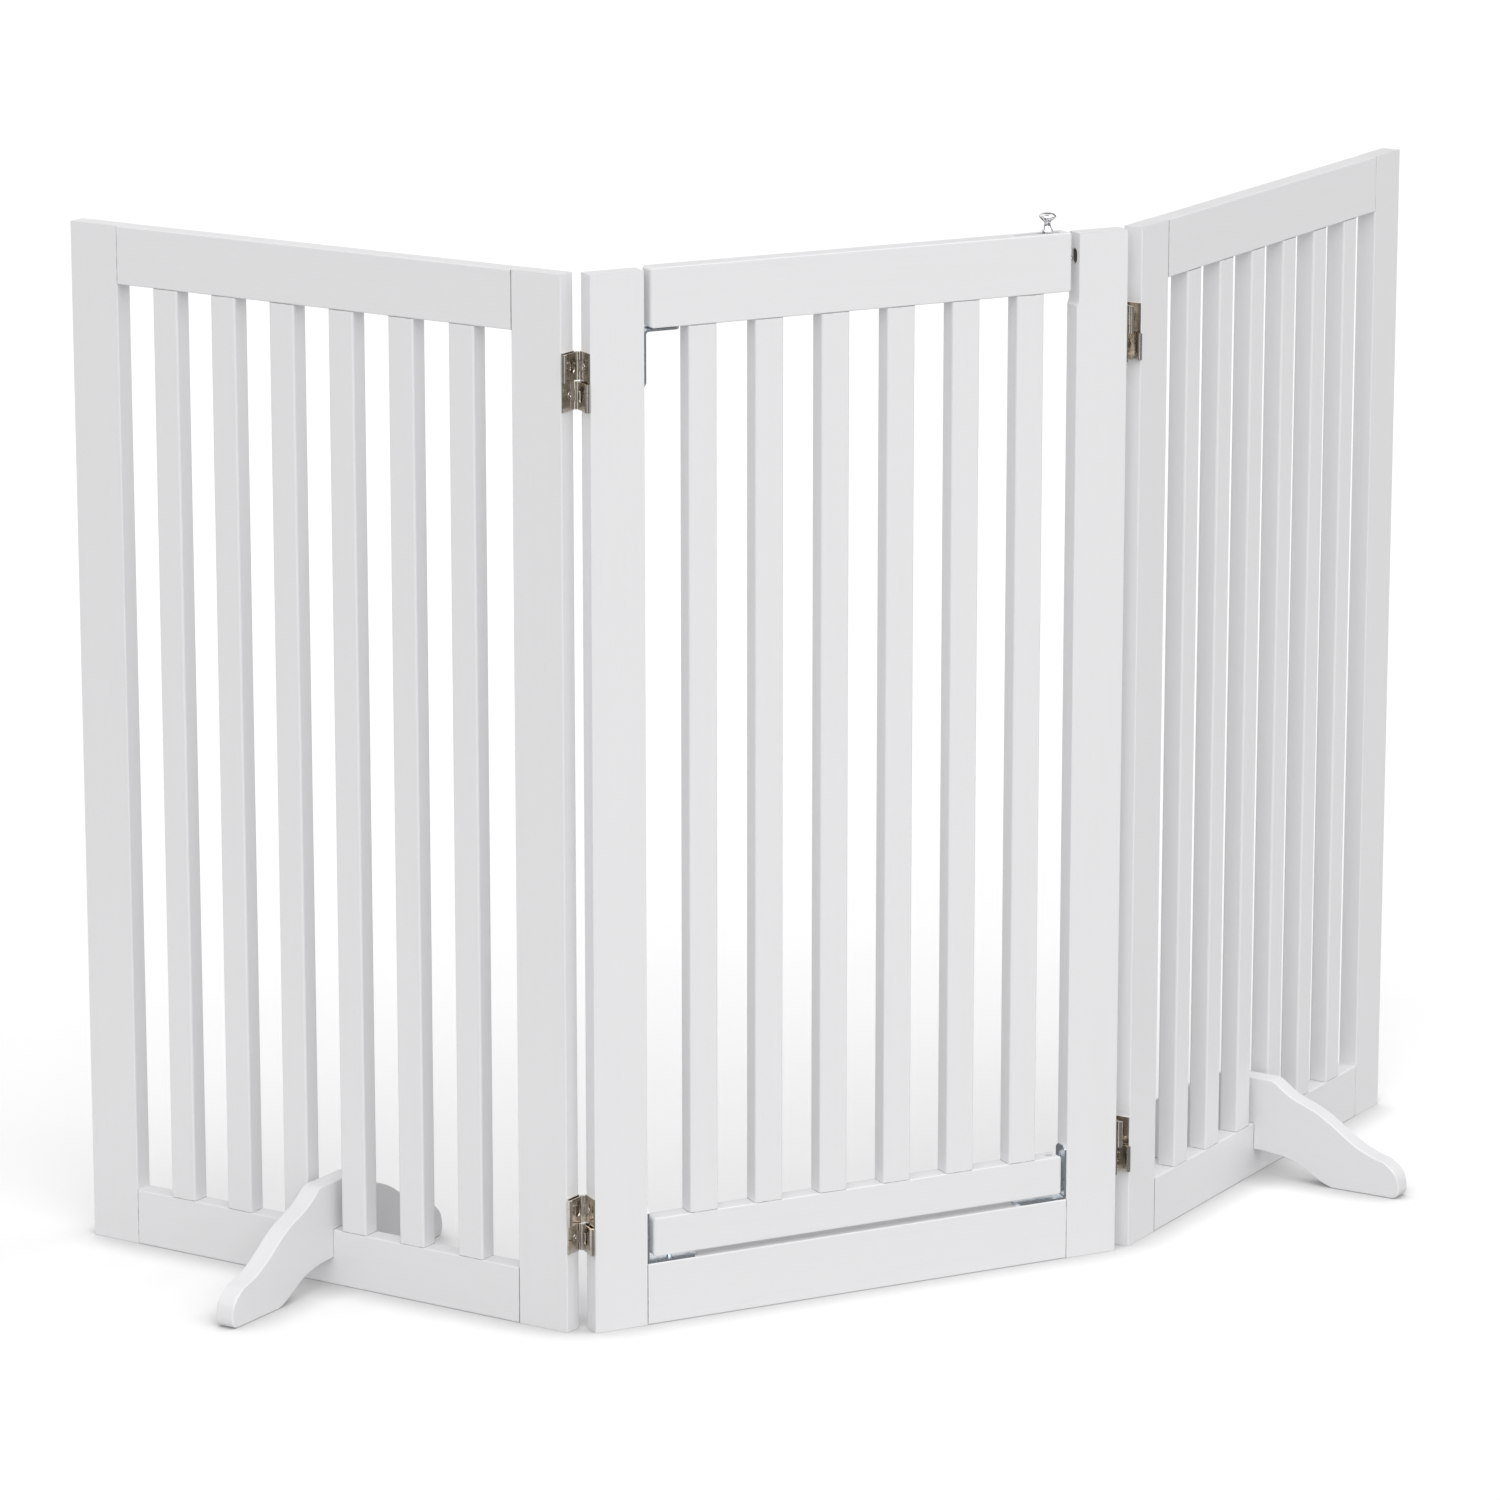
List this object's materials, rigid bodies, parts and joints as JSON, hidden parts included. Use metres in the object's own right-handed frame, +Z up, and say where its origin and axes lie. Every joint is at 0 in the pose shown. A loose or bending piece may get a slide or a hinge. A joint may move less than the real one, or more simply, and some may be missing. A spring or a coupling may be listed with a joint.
{
  "type": "free-standing folding pet gate",
  "caption": "Free-standing slatted wooden pet gate: folding wings on two-way hinges, a swinging centre door with a slide bolt, and lift-off support feet.",
  "frame": {"origin": "on the floor, under the middle of the centre panel's width and thickness", "axes": "+X to the right along the centre panel, +Y to the back, where the wings are folded, +Z up"},
  "size_m": [1.2443, 0.4624, 0.9384],
  "materials": {
    "white_paint": "satin white paint",
    "bare_wood": "unpainted beech",
    "zinc_steel": "zinc plated",
    "nickel_hinge": "nickel plated",
    "steel_rod": "zinc plated",
    "chrome_knob": "polished"
  },
  "bodies": {
    "centre": {"left_post": "white_paint", "right_post": "white_paint", "centre_sill_rail": "white_paint", "centre_dowels": "bare_wood", "upper_pivot_bracket": "zinc_steel", "lower_pivot_bracket": "zinc_steel", "latch_side_bracket": "zinc_steel", "bracket_screws": "zinc_steel", "upper_pivot_pin": "steel_rod", "lower_pivot_pin": "steel_rod", "centre_hinge_leaves": "nickel_hinge", "centre_hinge_pins": "nickel_hinge", "centre_hinge_screws": "nickel_hinge"},
    "left_links": {"left_lower_hinge_links": "nickel_hinge", "left_link_pins": "nickel_hinge"},
    "left_wing": {"left_wing_outer_stile": "white_paint", "left_wing_hinge_stile": "white_paint", "left_wing_top_rail": "white_paint", "left_wing_bottom_rail": "white_paint", "left_wing_slat_1": "white_paint", "left_wing_slat_2": "white_paint", "left_wing_slat_3": "white_paint", "left_wing_slat_4": "white_paint", "left_wing_slat_5": "white_paint", "left_wing_slat_6": "white_paint", "left_wing_dowels": "bare_wood", "left_wing_hinge_leaves": "nickel_hinge", "left_upper_hinge_links": "nickel_hinge", "left_wing_hinge_pins": "nickel_hinge", "left_wing_hinge_screws": "nickel_hinge"},
    "left_foot": {"left_support_foot": "white_paint"},
    "right_links": {"right_upper_hinge_links": "nickel_hinge", "right_link_pins": "nickel_hinge"},
    "right_wing": {"right_wing_outer_stile": "white_paint", "right_wing_hinge_stile": "white_paint", "right_wing_top_rail": "white_paint", "right_wing_bottom_rail": "white_paint", "right_wing_slat_1": "white_paint", "right_wing_slat_2": "white_paint", "right_wing_slat_3": "white_paint", "right_wing_slat_4": "white_paint", "right_wing_slat_5": "white_paint", "right_wing_slat_6": "white_paint", "right_wing_dowels": "bare_wood", "right_wing_hinge_leaves": "nickel_hinge", "right_lower_hinge_links": "nickel_hinge", "right_wing_hinge_pins": "nickel_hinge", "right_wing_hinge_screws": "nickel_hinge"},
    "right_foot": {"right_support_foot": "white_paint"},
    "door": {"door_top_rail": "white_paint", "door_bottom_rail": "white_paint", "door_slat_1": "white_paint", "door_slat_2": "white_paint", "door_slat_3": "white_paint", "door_slat_4": "white_paint", "door_slat_5": "white_paint", "door_slat_6": "white_paint", "door_dowels": "bare_wood"},
    "latch": {"latch_bolt": "steel_rod", "latch_knob": "chrome_knob"}
  },
  "joints": [
    {"name": "left_forward_fold", "type": "hinge", "parent": "centre", "child": "left_links", "pos_m": [-0.2595, -0.0095, 0.46], "axis": [0, 0, -1], "range_deg": [-110, 0]},
    {"name": "left_back_fold", "type": "hinge", "parent": "left_links", "child": "left_wing", "pos_m": [-0.2595, 0.0095, 0.46], "axis": [0, 0, -1], "range_deg": [-59, 51]},
    {"name": "right_forward_fold", "type": "hinge", "parent": "centre", "child": "right_links", "pos_m": [0.2595, -0.0095, 0.46], "axis": [0, 0, 1], "range_deg": [-110, 0]},
    {"name": "right_back_fold", "type": "hinge", "parent": "right_links", "child": "right_wing", "pos_m": [0.2595, 0.0095, 0.46], "axis": [0, 0, 1], "range_deg": [-32.5, 77.5]},
    {"name": "left_foot_lift", "type": "slide", "parent": "left_wing", "child": "left_foot", "axis": [0, 0, 1], "range_m": [0, 0.1]},
    {"name": "right_foot_lift", "type": "slide", "parent": "right_wing", "child": "right_foot", "axis": [0, 0, 1], "range_m": [0, 0.1]},
    {"name": "door_swing", "type": "hinge", "parent": "centre", "child": "door", "pos_m": [-0.1816, 0, 0.46], "axis": [0, 0, -1], "range_deg": [-90, 90]},
    {"name": "latch_slide", "type": "slide", "parent": "door", "child": "latch", "axis": [1, 0, 0], "range_m": [-0.03, 0.009]}
  ]
}
